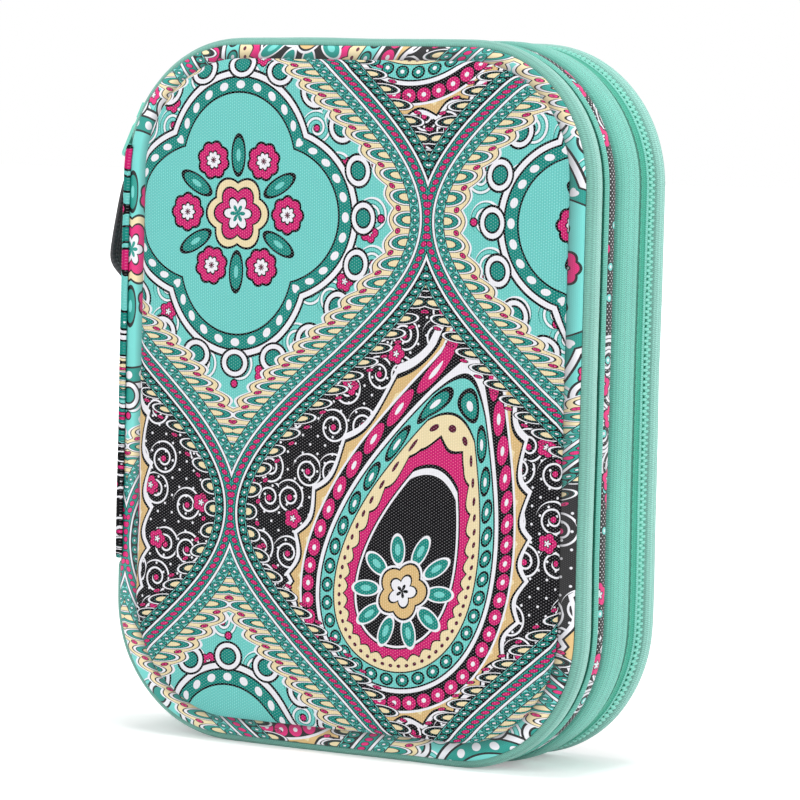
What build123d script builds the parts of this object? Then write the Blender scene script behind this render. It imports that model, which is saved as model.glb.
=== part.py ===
# Soft zipped organizer case for crochet hooks: a spine section between two padded covers.
# +X is the opening side, -X the spine, -Y the front cover, +Z up, with the origin under the
# middle of the base. The case stands closed on its base, as it is photographed.
import math
import os

from build123d import *

os.makedirs("parts", exist_ok=True)

# Overall size of the closed case
case_width = 163.0
case_height = 210.0
case_depth = 53.0
corner_radius = 41.0

# Padded panels of both covers, set off centre because the spine side has the wider margin
panel_margin_spine = 10.0
panel_margin_opening = 6.0
panel_margin_top = 6.0
panel_margin_base = 7.5
panel_radius = 34.0
panel_thickness = 2.2
canvas_thickness = 0.8
panel_edge_round = 1.2

# Depth of each band round the case, from the front face to the back face; the wide mint tape
# between the printed strip and the groove takes what they leave
gusset_rise = 2.2
front_tape_width = 8.1
rear_tape_width = 2.9
print_strip_width = 4.0
zip2_groove_width = 6.95
back_tape_width = 8.75

# Cloth and tape shell
shell_thickness = 2.1
band_roll = 1.4
roll_depth = 1.8
slit_depth = 1.2
gusset_wall = 3.6
gusset_tuck = 1.0
lining_thickness = 0.6
body_gap = 0.3

# Zips
zip_gap = 0.9
coil_thickness = 1.15
coil_half_width = 2.1
groove_depth = 1.3
inner_coil_half_width = 1.5
lining_zip_clearance = 3.75

# Spine
spine_base_z = 52.0
spine_top_margin = 32.0
spine_canvas_thickness = 0.9
spine_window_reach = 12.0

# Divider, hook bands and pockets
divider_thickness = 3.0
divider_offset = -2.0
hook_count = 8
hook_pitch = 15.0
hook_loop_width = 12.0
hook_loop_rise = 2.6
elastic_thickness = 0.8
hook_band_width = 24.0
hook_band_upper_z = 142.0
hook_band_lower_z = 66.0
pocket_thickness = 0.5
pocket_side_margin = 14.0
pocket_base_margin = 11.0
pocket_height = 104.0
binding_width = 9.0
binding_thickness = 0.9
slip_pocket_height = 88.0

# Carrying strap on the spine
strap_width = 20.0
strap_offset = -5.0
strap_thickness = 1.4
strap_edge_margin = 0.5
strap_sewn_length = 4.5
strap_shoulder_drop = 4.5
strap_shoulder = 4.5
strap_fall = 26.5
strap_bulge = 9.8
strap_return = 9.0
strap_foot_length = 7.5
strap_bend_radius = 3.0
strap_foot_radius = 1.6

# Sliders and pulls, parked on the top corner by the spine
slider_angle = 155.0
slider_length = 9.0
slider_width = 7.2
slider_plate = 1.2
slider_clearance = 0.3
slider_inner_clearance = 0.6
slider_post_thickness = 0.4
slider_post_length = 2.0
bridge_length = 5.0
bridge_rise = 2.6
bridge_width = 1.4
bridge_window = 3.0
bridge_wall = 0.85
pull_bar_radius = 0.55
pull_bar_height = 0.9
pull_arm_gap = 0.35
pull_arm_width = 0.95
pull_neck = 3.4
pull_length = 15.0
pull_tab_width = 5.4
pull_hole_radius = 0.9

# Planes that follow from the sizes above
front_y = -case_depth / 2
back_y = case_depth / 2
panel_back_y = front_y + panel_thickness
front_seam_y = panel_back_y + gusset_rise
zip1_y = front_seam_y + front_tape_width
strip_y = zip1_y + rear_tape_width
wide_tape_y = strip_y + print_strip_width
back_seam_y = back_y - panel_thickness - gusset_rise
zip2_y = back_seam_y - back_tape_width
groove_start_y = zip2_y - zip2_groove_width
spine_x = -case_width / 2
spine_top_z = case_height - spine_top_margin
corner_z = case_height - corner_radius
lining_inset = shell_thickness
cavity_inset = shell_thickness + lining_thickness
panel_width = case_width - panel_margin_spine - panel_margin_opening
panel_height = case_height - panel_margin_top - panel_margin_base
panel_shift_x = (panel_margin_spine - panel_margin_opening) / 2
panel_shift_z = (panel_margin_base - panel_margin_top) / 2
divider_front_y = divider_offset - divider_thickness / 2
divider_back_y = divider_offset + divider_thickness / 2


def spine_skin_x(z, inset=0.0):
    """Where the spine's face, drawn in by the inset, lies at a height above the base."""
    rise = max(0.0, z - corner_z)
    return spine_x + corner_radius - math.sqrt((corner_radius - inset) ** 2 - rise**2)


def across(y):
    """Plane at depth y, seen from the front, centred on the case."""
    return Plane(origin=(0, y, case_height / 2), x_dir=(1, 0, 0), z_dir=(0, -1, 0))


def case_outline(inset):
    """Rounded outline of the case, drawn in by the inset."""
    RectangleRounded(case_width - 2 * inset, case_height - 2 * inset, corner_radius - inset)


def panel_outline(inset):
    """Rounded outline of a cover's padded panel, drawn in by the inset."""
    with Locations((panel_shift_x, panel_shift_z)):
        RectangleRounded(panel_width - 2 * inset, panel_height - 2 * inset, panel_radius - inset)


def slab(outline, inset, y_from, y_to, mode=Mode.ADD):
    """Prism of an outline between two depths."""
    with BuildSketch(across(y_from)) as profile:
        outline(inset)
    extrude(profile.sketch, amount=y_from - y_to, mode=mode)


def lofted(stations, mode=Mode.ADD):
    """Solid through outlines at several depths, straight between them."""
    sections = []
    for y, outline, inset in stations:
        with BuildSketch(across(y)) as section:
            outline(inset)
        sections.append(section.sketch.face())
    loft(sections, ruled=True, mode=mode)


def spine_window(mode, margin=0.0):
    """Box over the stretch of the spine where canvas takes the place of the zips."""
    length = spine_top_z - spine_base_z + 2 * margin
    with Locations((spine_x, 0, (spine_base_z + spine_top_z) / 2)):
        Box(2 * spine_window_reach, 2 * case_depth, length, mode=mode)


def zip_band(stations):
    """Band of tape or cloth round the case, open at the spine, with an even inner face."""
    lofted([(y, case_outline, inset) for y, inset in stations])
    slab(case_outline, shell_thickness, stations[0][0], stations[-1][0], Mode.SUBTRACT)
    spine_window(Mode.SUBTRACT, body_gap)


def coil_band(y_from, y_to, outer_inset):
    """Half of a zip coil, open at the spine."""
    slab(case_outline, outer_inset, y_from, y_to)
    slab(case_outline, outer_inset + coil_thickness, y_from, y_to, Mode.SUBTRACT)
    spine_window(Mode.SUBTRACT, body_gap)


def lining_wall(y_from, y_to):
    """Lining against the inner face of the bands, open at the spine."""
    slab(case_outline, lining_inset, y_from, y_to)
    slab(case_outline, cavity_inset, y_from, y_to, Mode.SUBTRACT)
    spine_window(Mode.SUBTRACT, body_gap)


def padded_canvas(face_y, inward):
    """Canvas skin of a cover, turned over the edge of its foam."""
    back = face_y + inward * panel_thickness
    slab(panel_outline, 0, face_y, back)
    fillet(faces().sort_by(Axis.Y)[0 if inward > 0 else -1].edges(), panel_edge_round)
    slab(panel_outline, canvas_thickness, face_y + inward * canvas_thickness, back, Mode.SUBTRACT)


def foam_pad(face_y, inward):
    """Foam with its stiff card: one step fills the canvas, the other the gusset."""
    back = face_y + inward * panel_thickness
    slab(panel_outline, canvas_thickness, face_y + inward * canvas_thickness, back)
    slab(panel_outline, gusset_tuck + gusset_wall, back, back + inward * gusset_rise)


def sloped_gusset(face_y, inward):
    """Cloth ring that slopes from under the panel out to the zip tape."""
    top = face_y + inward * panel_thickness
    seam = top + inward * gusset_rise
    lofted([(top, panel_outline, gusset_tuck), (seam, case_outline, band_roll)])
    lofted(
        [
            (top, panel_outline, gusset_tuck + gusset_wall),
            (seam, case_outline, band_roll + gusset_wall),
        ],
        Mode.SUBTRACT,
    )


def cover_lining(seam_y, zip_y, inward):
    """Lining of a cover: a sheet over the foam and a low wall round it."""
    sheet_y = seam_y + inward * lining_thickness
    slab(case_outline, lining_inset, seam_y, sheet_y)
    window_middle = (spine_base_z + spine_top_z) / 2
    window_length = spine_top_z - spine_base_z + 2 * body_gap
    trim_x = spine_skin_x(spine_top_z + body_gap, cavity_inset) + body_gap
    with Locations((spine_x, 0, window_middle)):
        Box(2 * (trim_x - spine_x), 2 * case_depth, window_length, mode=Mode.SUBTRACT)
    wall_end = zip_y - inward * (lining_zip_clearance + zip_gap / 2)
    slab(case_outline, lining_inset, sheet_y, wall_end)
    slab(case_outline, cavity_inset, sheet_y, wall_end, Mode.SUBTRACT)
    with Locations((spine_x, (sheet_y + wall_end) / 2, window_middle)):
        Box(2 * spine_window_reach, abs(wall_end - sheet_y), window_length, mode=Mode.SUBTRACT)


def pocket_sheet(y_from, y_to, height):
    """Flat pocket that fills the foot of a cover up to its mouth."""
    inset = cavity_inset + pocket_side_margin
    slab(case_outline, inset, y_from, y_to)
    mouth_z = pocket_base_margin + height
    with Locations((0, 0, mouth_z + case_height / 2)):
        Box(2 * case_width, 2 * case_depth, case_height, mode=Mode.SUBTRACT)


def pocket_binding(y_from, y_to, height):
    """Elastic binding along the mouth of a pocket, wrapped over its edge."""
    mouth_z = pocket_base_margin + height
    width = case_width - 2 * (cavity_inset + pocket_side_margin)
    with Locations((0, (y_from + y_to) / 2, mouth_z + binding_width / 2)):
        Box(width, abs(y_to - y_from), binding_width)
    fillet(edges().filter_by(Axis.Y), binding_width / 4)


def hook_band(z_centre):
    """Elastic band sewn down between its loops, one loop for each hook."""
    gap = hook_pitch - hook_loop_width
    start_x = -hook_count * hook_pitch / 2
    base_y = divider_front_y - elastic_thickness / 2
    with BuildSketch(Plane.XY.offset(z_centre - hook_band_width / 2)) as ribbon:
        with BuildLine():
            for n in range(hook_count):
                x = start_x + n * hook_pitch
                Line((x, base_y), (x + gap / 2, base_y))
                ThreePointArc(
                    (x + gap / 2, base_y),
                    (x + hook_pitch / 2, base_y - hook_loop_rise),
                    (x + hook_pitch - gap / 2, base_y),
                )
                Line((x + hook_pitch - gap / 2, base_y), (x + hook_pitch, base_y))
        trace(line_width=elastic_thickness)
    extrude(ribbon.sketch, amount=hook_band_width)
    split(bisect_by=Plane(origin=(0, divider_front_y, 0), z_dir=(0, -1, 0)), keep=Keep.TOP)


# Front cover
with BuildPart() as front_panel_canvas:
    padded_canvas(front_y, 1)

with BuildPart() as front_foam_pad:
    foam_pad(front_y, 1)

with BuildPart() as front_gusset:
    sloped_gusset(front_y, 1)

with BuildPart() as front_lining:
    cover_lining(front_seam_y, zip1_y, 1)

front_sheet_y = front_seam_y + lining_thickness
with BuildPart() as front_mesh_pocket:
    pocket_sheet(front_sheet_y, front_sheet_y + pocket_thickness, pocket_height)

with BuildPart() as front_pocket_binding:
    pocket_binding(front_sheet_y, front_sheet_y + binding_thickness, pocket_height)

with BuildPart() as zip1_front_tape:
    zip_band(
        [
            (front_seam_y, band_roll),
            (front_seam_y + roll_depth, 0),
            (zip1_y - roll_depth, 0),
            (zip1_y - zip_gap / 2, slit_depth),
        ]
    )

with BuildPart() as zip1_front_coil:
    coil_band(zip1_y - zip_gap / 2 - inner_coil_half_width, zip1_y - zip_gap / 2, shell_thickness)

# Middle section with the spine
with BuildPart() as zip1_rear_coil:
    coil_band(zip1_y + zip_gap / 2, zip1_y + zip_gap / 2 + inner_coil_half_width, shell_thickness)

with BuildPart() as zip1_rear_tape:
    zip_band([(zip1_y + zip_gap / 2, slit_depth), (zip1_y + roll_depth, 0), (strip_y, slit_depth / 2)])

with BuildPart() as middle_gusset:
    zip_band([(strip_y, slit_depth / 2), (wide_tape_y, slit_depth / 2)])

with BuildPart() as zip2_front_tape:
    zip_band(
        [
            (wide_tape_y, slit_depth / 2),
            (wide_tape_y + roll_depth, 0),
            (groove_start_y - roll_depth, 0),
            (groove_start_y, groove_depth),
            (zip2_y - zip_gap / 2, groove_depth),
        ]
    )

with BuildPart() as zip2_front_coil:
    coil_band(zip2_y - zip_gap / 2 - coil_half_width, zip2_y - zip_gap / 2, groove_depth - coil_thickness)

with BuildPart() as middle_lining:
    lining_wall(
        zip1_y + zip_gap / 2 + lining_zip_clearance, zip2_y - zip_gap / 2 - lining_zip_clearance
    )

spine_front_y = front_seam_y + body_gap / 2
spine_back_y = back_seam_y - body_gap / 2
with BuildPart() as spine_canvas:
    slab(case_outline, 0, spine_front_y, spine_back_y)
    slab(case_outline, spine_canvas_thickness, spine_front_y, spine_back_y, Mode.SUBTRACT)
    spine_window(Mode.INTERSECT)

with BuildPart() as spine_board:
    slab(case_outline, spine_canvas_thickness, spine_front_y, spine_back_y)
    slab(case_outline, shell_thickness, spine_front_y, spine_back_y, Mode.SUBTRACT)
    spine_window(Mode.INTERSECT)

with BuildPart() as spine_lining:
    slab(case_outline, lining_inset, spine_front_y, spine_back_y)
    slab(case_outline, cavity_inset, spine_front_y, spine_back_y, Mode.SUBTRACT)
    spine_window(Mode.INTERSECT)

with BuildPart() as divider_panel:
    slab(case_outline, cavity_inset, divider_front_y, divider_back_y)

with BuildPart() as hook_band_upper:
    hook_band(hook_band_upper_z)

with BuildPart() as hook_band_lower:
    hook_band(hook_band_lower_z)

with BuildPart() as divider_slip_pocket:
    pocket_sheet(divider_back_y, divider_back_y + pocket_thickness, slip_pocket_height)

# Carrying strap: sewn to the spine at both ends, slack between them
half_strap = strap_thickness / 2
strap_top_z = spine_top_z - strap_edge_margin
strap_leave_z = strap_top_z - strap_sewn_length
strap_shoulder_z = strap_leave_z - strap_shoulder_drop
strap_bulge_z = strap_shoulder_z - strap_fall
strap_foot_z = strap_bulge_z - strap_return
with BuildPart() as handle_strap:
    with BuildSketch(Plane.XZ.offset(-strap_offset - strap_width / 2)):
        with BuildLine():
            FilletPolyline(
                (spine_skin_x(strap_top_z) - half_strap, strap_top_z),
                (spine_skin_x(strap_leave_z) - half_strap, strap_leave_z),
                (spine_x - strap_shoulder, strap_shoulder_z),
                (spine_x - strap_bulge, strap_bulge_z),
                (spine_x - half_strap, strap_foot_z),
                (spine_x - half_strap, strap_foot_z - strap_foot_length),
                radius=[strap_bend_radius, strap_bend_radius, strap_bend_radius, strap_foot_radius],
            )
        trace(line_width=strap_thickness)
    extrude(amount=strap_width)
    slab(case_outline, 0, front_y, back_y, Mode.SUBTRACT)

# Back cover
with BuildPart() as back_panel_canvas:
    padded_canvas(back_y, -1)

with BuildPart() as back_foam_pad:
    foam_pad(back_y, -1)

with BuildPart() as back_gusset:
    sloped_gusset(back_y, -1)

with BuildPart() as back_lining:
    cover_lining(back_seam_y, zip2_y, -1)

back_sheet_y = back_seam_y - lining_thickness
with BuildPart() as back_mesh_pocket:
    pocket_sheet(back_sheet_y, back_sheet_y - pocket_thickness, pocket_height)

with BuildPart() as back_pocket_binding:
    pocket_binding(back_sheet_y, back_sheet_y - binding_thickness, pocket_height)

with BuildPart() as zip2_rear_tape:
    zip_band(
        [
            (zip2_y + zip_gap / 2, groove_depth),
            (zip2_y + zip_gap / 2 + coil_half_width, groove_depth),
            (zip2_y + zip_gap / 2 + coil_half_width + roll_depth / 2, 0),
            (back_seam_y - roll_depth, 0),
            (back_seam_y, band_roll),
        ]
    )

with BuildPart() as zip2_rear_coil:
    coil_band(zip2_y + zip_gap / 2, zip2_y + zip_gap / 2 + coil_half_width, groove_depth - coil_thickness)


def slider_plane(zip_y):
    """Plane on the case's corner arc: local x runs back towards the spine, z outwards."""
    turn = math.radians(slider_angle)
    outward = (math.cos(turn), 0, math.sin(turn))
    backward = (-math.sin(turn), 0, math.cos(turn))
    centre_x = spine_x + corner_radius
    centre_z = case_height - corner_radius
    origin = (centre_x + corner_radius * outward[0], zip_y, centre_z + corner_radius * outward[2])
    return Plane(origin=origin, x_dir=backward, z_dir=outward)


def slider_body(zip_y, inner_inset, fixed_side):
    """Outer plate with a bridge for the pull, joined by a thin post in the zip's gap to an inner
    plate, which holds only the fixed half of the zip, so that the cover's half can swing away."""
    place = slider_plane(zip_y)
    top = slider_clearance + slider_plate
    with BuildSketch(place.offset(slider_clearance)) as outer_plate:
        RectangleRounded(slider_length, slider_width, slider_width / 3)
    extrude(outer_plate.sketch, amount=slider_plate)
    with BuildSketch(place.offset(-inner_inset)) as inner_plate:
        RectangleRounded(slider_length, slider_width, slider_width / 3)
        with Locations((0, fixed_side * (slider_width - slider_post_thickness) / 2)):
            Rectangle(slider_length, slider_width, mode=Mode.INTERSECT)
    extrude(inner_plate.sketch, amount=-slider_plate)
    with BuildSketch(place.offset(-inner_inset)) as post:
        Rectangle(slider_post_length, slider_post_thickness)
    extrude(post.sketch, amount=inner_inset + slider_clearance)
    with BuildSketch(place.offset(top)) as bridge:
        Rectangle(bridge_length, bridge_width)
    extrude(bridge.sketch, amount=bridge_rise)
    with BuildSketch(place.offset(top)) as window:
        Rectangle(bridge_window, 2 * bridge_width)
    extrude(window.sketch, amount=bridge_rise - bridge_wall, mode=Mode.SUBTRACT)


def pull_tab(zip_y):
    """Pull with its cross bar under the bridge, lying back towards the spine."""
    place = slider_plane(zip_y)
    bar_height = slider_clearance + slider_plate + pull_bar_height
    arm_y = bridge_width / 2 + pull_arm_gap + pull_arm_width / 2
    arm_length = pull_neck + pull_bar_radius
    base = place.offset(bar_height - pull_bar_radius)
    bar_centre = place.origin + place.z_dir * bar_height
    with BuildSketch(Plane(origin=bar_centre, x_dir=place.x_dir, z_dir=place.y_dir)) as bar:
        Circle(pull_bar_radius)
    extrude(bar.sketch, amount=arm_y + pull_arm_width / 2, both=True)
    with BuildSketch(base) as arms:
        with Locations((arm_length / 2, arm_y), (arm_length / 2, -arm_y)):
            Rectangle(arm_length, pull_arm_width)
    extrude(arms.sketch, amount=2 * pull_bar_radius)
    with BuildSketch(base) as tab:
        with Locations(((pull_neck + pull_length) / 2, 0)):
            RectangleRounded(pull_length - pull_neck, pull_tab_width, pull_tab_width / 3)
        with Locations((pull_length - pull_tab_width / 2, 0)):
            Circle(pull_hole_radius, mode=Mode.SUBTRACT)
    extrude(tab.sketch, amount=2 * pull_bar_radius)


inner_coil_inset = shell_thickness + coil_thickness + slider_inner_clearance
with BuildPart() as zip1_slider:
    slider_body(zip1_y, inner_coil_inset, -1)

with BuildPart() as zip1_pull:
    pull_tab(zip1_y)

with BuildPart() as zip2_slider:
    slider_body(zip2_y, shell_thickness + slider_inner_clearance, 1)

with BuildPart() as zip2_pull:
    pull_tab(zip2_y)

pieces = {
    "front_panel_canvas": front_panel_canvas,
    "front_foam_pad": front_foam_pad,
    "front_gusset": front_gusset,
    "front_lining": front_lining,
    "front_mesh_pocket": front_mesh_pocket,
    "front_pocket_binding": front_pocket_binding,
    "zip1_front_tape": zip1_front_tape,
    "zip1_front_coil": zip1_front_coil,
    "zip1_rear_coil": zip1_rear_coil,
    "zip1_rear_tape": zip1_rear_tape,
    "middle_gusset": middle_gusset,
    "zip2_front_tape": zip2_front_tape,
    "zip2_front_coil": zip2_front_coil,
    "middle_lining": middle_lining,
    "spine_canvas": spine_canvas,
    "spine_board": spine_board,
    "spine_lining": spine_lining,
    "divider_panel": divider_panel,
    "hook_band_upper": hook_band_upper,
    "hook_band_lower": hook_band_lower,
    "divider_slip_pocket": divider_slip_pocket,
    "handle_strap": handle_strap,
    "back_panel_canvas": back_panel_canvas,
    "back_foam_pad": back_foam_pad,
    "back_gusset": back_gusset,
    "back_lining": back_lining,
    "back_mesh_pocket": back_mesh_pocket,
    "back_pocket_binding": back_pocket_binding,
    "zip2_rear_tape": zip2_rear_tape,
    "zip2_rear_coil": zip2_rear_coil,
    "zip1_slider": zip1_slider,
    "zip1_pull": zip1_pull,
    "zip2_slider": zip2_slider,
    "zip2_pull": zip2_pull,
}
for name, piece in pieces.items():
    piece.part.label = name
    export_step(piece.part, f"parts/{name}.step")
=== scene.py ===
"""Soft zipped organizer case for crochet hooks: its cloth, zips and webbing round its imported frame."""
import math
from functools import partialmethod

import bmesh
import bpy
from bpy.props import FloatProperty, FloatVectorProperty, IntProperty, PointerProperty
from mathutils import Matrix, Vector, noise


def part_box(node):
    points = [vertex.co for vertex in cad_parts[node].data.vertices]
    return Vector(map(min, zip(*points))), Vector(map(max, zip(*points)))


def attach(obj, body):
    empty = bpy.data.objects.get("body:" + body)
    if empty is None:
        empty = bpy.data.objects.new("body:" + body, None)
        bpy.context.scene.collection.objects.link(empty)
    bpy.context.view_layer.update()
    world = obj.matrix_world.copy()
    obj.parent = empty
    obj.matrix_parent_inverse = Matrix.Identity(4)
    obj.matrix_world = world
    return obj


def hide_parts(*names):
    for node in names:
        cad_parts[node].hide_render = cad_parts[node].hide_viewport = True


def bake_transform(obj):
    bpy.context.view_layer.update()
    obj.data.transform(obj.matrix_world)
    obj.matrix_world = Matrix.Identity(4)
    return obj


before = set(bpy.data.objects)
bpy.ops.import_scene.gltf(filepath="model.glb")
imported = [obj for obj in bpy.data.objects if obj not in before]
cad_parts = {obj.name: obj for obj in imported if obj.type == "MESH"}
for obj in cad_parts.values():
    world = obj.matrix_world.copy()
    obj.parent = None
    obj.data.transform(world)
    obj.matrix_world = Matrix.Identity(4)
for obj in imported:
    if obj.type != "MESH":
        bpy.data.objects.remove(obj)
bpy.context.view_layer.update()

bl_info = {
    "name": "Crochet Organizer Case",
    "version": (1, 0, 0),
    "blender": (4, 5, 0),
    "location": "View3D > Sidebar > Organizer",
    "description": "Builds the cloth, zips, strap and pockets of a zipped crochet organizer case",
    "category": "Object",
}

MM = 0.001

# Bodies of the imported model
FRONT, MIDDLE, BACK = "front_cover", "middle_section", "back_cover"


def box_of(node):
    """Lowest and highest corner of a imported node."""
    low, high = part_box(node)
    return Vector(low), Vector(high)


def linear(red, green, blue):
    """Linear colour of an 8-bit one, as a dye card gives it."""
    channels = (c / 255 for c in (red, green, blue))
    return tuple(c / 12.92 if c <= 0.04045 else ((c + 0.055) / 1.055) ** 2.4 for c in channels)


# Outlines


class Outline:
    """Rounded rectangle in the X-Z plane, which bands, linings and panels follow."""

    def __init__(self, low, high, radius):
        self.left, self.right, self.base, self.top = low.x, high.x, low.z, high.z
        self.radius = radius

    def inset(self, amount):
        """The same outline drawn in by an amount."""
        low = Vector((self.left + amount, 0, self.base + amount))
        high = Vector((self.right - amount, 0, self.top - amount))
        return Outline(low, high, self.radius - amount)

    @property
    def centre(self):
        return Vector(((self.left + self.right) / 2, (self.base + self.top) / 2))

    @property
    def straight(self):
        """Half lengths of the straight sides, along X and Z."""
        width, height = self.right - self.left, self.top - self.base
        return width / 2 - self.radius, height / 2 - self.radius

    @property
    def length(self):
        return 4 * sum(self.straight) + 2 * math.pi * self.radius

    def from_corners(self, x, z):
        """Place from the outline's middle, and how far it lies beyond the straight sides, along X and Z."""
        across, up = self.straight
        dx, dz = x - self.centre.x, z - self.centre.y
        return dx, dz, abs(dx) - across, abs(dz) - up

    def outward(self, x, z):
        """Distance outside the outline, and the direction that leads outwards."""
        dx, dz, qx, qz = self.from_corners(x, z)
        sx, sz = math.copysign(1, dx), math.copysign(1, dz)
        if qx > 0 and qz > 0:
            reach = math.hypot(qx, qz)
            return reach - self.radius, Vector((sx * qx / reach, sz * qz / reach))
        if qx > qz:
            return qx - self.radius, Vector((sx, 0))
        return qz - self.radius, Vector((0, sz))

    def along(self, x, z):
        """Length along the outline, from the middle of the spine side down and round by the base."""
        across, up = self.straight
        dx, dz, qx, qz = self.from_corners(x, z)
        quarter = self.length / 4
        if qx > qz or min(qx, qz) > 0:
            turn = self.radius * math.atan2(max(qz, 0), max(qx, 1e-9))
            rise = min(max(dz, -up), up) + math.copysign(turn, dz)
            return 2 * quarter + rise if dx > 0 else -rise % self.length
        run = min(max(dx, -across), across)
        return quarter + run if dz < 0 else 3 * quarter - run

    def at(self, length):
        """Point at a length along the outline, and the way the outline heads there."""
        across, up = self.straight
        point, heading = Vector((self.left, self.centre.y)), -math.pi / 2
        for run in (up, 2 * across, 2 * up, 2 * across):
            if length <= run:
                break
            ahead = Vector((math.cos(heading), math.sin(heading)))
            corner = point + ahead * run + Vector((-ahead.y, ahead.x)) * self.radius
            turn = min((length - run) / self.radius, math.pi / 2)
            heading += turn
            point = corner + Vector((math.sin(heading), -math.cos(heading))) * self.radius
            length -= run + turn * self.radius
        return point + Vector((math.cos(heading), math.sin(heading))) * length, heading


CORNER_RADIUS = 41 * MM
PANEL_RADIUS = 34 * MM
CASE = Outline(*box_of("zip1_front_tape"), CORNER_RADIUS)
PANEL = Outline(*box_of("front_panel_canvas"), PANEL_RADIUS)
SPINE_LOW, SPINE_HIGH = box_of("spine_canvas")
BODY_GAP = 0.3 * MM
SPINE_GAP = (SPINE_LOW.z - BODY_GAP, SPINE_HIGH.z + BODY_GAP)

# How far the two faces of the side linings lie within the case's outline, in millimetres
LINING_INSETS = (2.15, 2.7)


# Mesh work


def is_edge(item):
    return isinstance(item, bmesh.types.BMEdge)


def is_vert(item):
    return isinstance(item, bmesh.types.BMVert)


def pulled(bm, geom, offset, steps):
    """Extrudes a row of edges along an offset, in steps, and gives the last row."""
    for _ in range(steps):
        made = bmesh.ops.extrude_edge_only(bm, edges=[g for g in geom if is_edge(g)])["geom"]
        verts = {g for g in made if is_vert(g)}
        bmesh.ops.translate(bm, verts=list(verts), vec=offset / steps)
        geom = list(verts) + [g for g in made if is_edge(g) and set(g.verts) <= verts]
    return geom


def turned(bm, geom, centre, angle, steps):
    """Spins a row of edges round a corner of an outline, and gives the last row."""
    place = {"cent": (centre[0], 0, centre[1]), "axis": (0, -1, 0), "angle": angle}
    return bmesh.ops.spin(bm, geom=geom, steps=steps, use_duplicate=False, **place)["geom_last"]


def started(points, closed):
    """Mesh of one row of points joined by edges, to run along a path, and the row."""
    bm = bmesh.new()
    row = [bm.verts.new(point) for point in points]
    pairs = zip(row, row[1:] + row[:1] if closed else row[1:])
    return bm, row + [bm.edges.new(pair) for pair in pairs]


def finished(bm, *ends):
    """Closes the ends of a run and turns its faces outwards."""
    for end in ends:
        bmesh.ops.edgeloop_fill(bm, edges=[g for g in end if is_edge(g)])
    bmesh.ops.recalc_face_normals(bm, faces=bm.faces)
    return bm


def swept(outline, profile, closed=True, gap=None, step=5 * MM, corner_steps=14):
    """Mesh of a profile of (depth, inset) points run round an outline from the spine side down, by the
    base. A gap of two heights leaves the spine side open between them."""
    radius, middle = outline.radius, outline.centre.y
    start = gap[0] if gap else middle
    bm, first = started([(outline.left + inset, depth, start) for depth, inset in profile], closed)
    left, right = outline.left + radius, outline.right - radius
    base, top = outline.base + radius, outline.top - radius
    legs = [
        (Vector((0, 0, base - start)), (left, base)),
        (Vector((right - left, 0, 0)), (right, base)),
        (Vector((0, 0, top - base)), (right, top)),
        (Vector((left - right, 0, 0)), (left, top)),
    ]
    geom = first
    for offset, corner in legs:
        geom = pulled(bm, geom, offset, max(1, round(offset.length / step)))
        last = gap is not None and corner == (left, top)
        angle = math.pi / 2 - (math.asin((gap[1] - top) / radius) if last else 0)
        geom = turned(bm, geom, corner, angle, corner_steps)
    if gap is None:
        pulled(bm, geom, Vector((0, 0, middle - top)), max(1, round((top - middle) / step)))
        bmesh.ops.remove_doubles(bm, verts=bm.verts, dist=1e-6)
        return finished(bm)
    return finished(bm, first, geom) if closed else finished(bm)


def mapped(bm, place, name="Cloth"):
    """Gives a mesh a cloth map: place puts each corner, on a face with that centre, in metres of cloth."""
    layer = bm.loops.layers.uv.new(name)
    for face in bm.faces:
        centre = face.calc_center_median()
        for loop in face.loops:
            loop[layer].uv = place(loop.vert.co, centre)
    return bm


def round_case(co, centre):
    """Cloth that runs round the case: its length by the outline, its width by Y."""
    along, here = (CASE.along(point.x, point.z) for point in (co, centre))
    if abs(along - here) > CASE.length / 2:
        along += math.copysign(CASE.length, here - along)
    return along, co.y


def facing(co, _centre):
    """Cloth seen from the front: X and Z."""
    return co.x, co.z


def relaxed(bm, amount, reach, pucker=0.0, ripple=5 * MM):
    """Lets a stiff mesh give like stuffed cloth: slow waves, and fine puckers where cloth is gathered."""
    for vert in bm.verts:
        slow = noise.noise_vector(vert.co / reach)
        fine = noise.noise_vector(vert.co / ripple + Vector((7.3, 2.1, 4.4)))
        vert.co += slow * amount + fine * pucker
    return bm


def piece(bm, name, body, material, nodes=(), smooth=True):
    """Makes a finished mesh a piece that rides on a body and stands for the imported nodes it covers."""
    mesh = bpy.data.meshes.new(name)
    bm.to_mesh(mesh)
    bm.free()
    mesh.materials.append(material)
    if smooth:
        mesh.shade_smooth()
    obj = bpy.data.objects.new(name, mesh)
    bpy.context.scene.collection.objects.link(obj)
    if body:
        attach(obj, body)
    if nodes:
        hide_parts(*nodes)
    return obj


def subdivided(obj, levels=1):
    """Rounds a piece with a Subdivision Surface."""
    modifier = obj.modifiers.new("Soft surface", "SUBSURF")
    modifier.levels = modifier.render_levels = levels
    return obj


def thickened(obj, thickness):
    """Gives a single sheet of cloth its thickness, half on each side."""
    modifier = obj.modifiers.new("Cloth thickness", "SOLIDIFY")
    modifier.thickness = thickness
    modifier.offset = 0
    modifier.use_even_offset = True
    return obj


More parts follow.
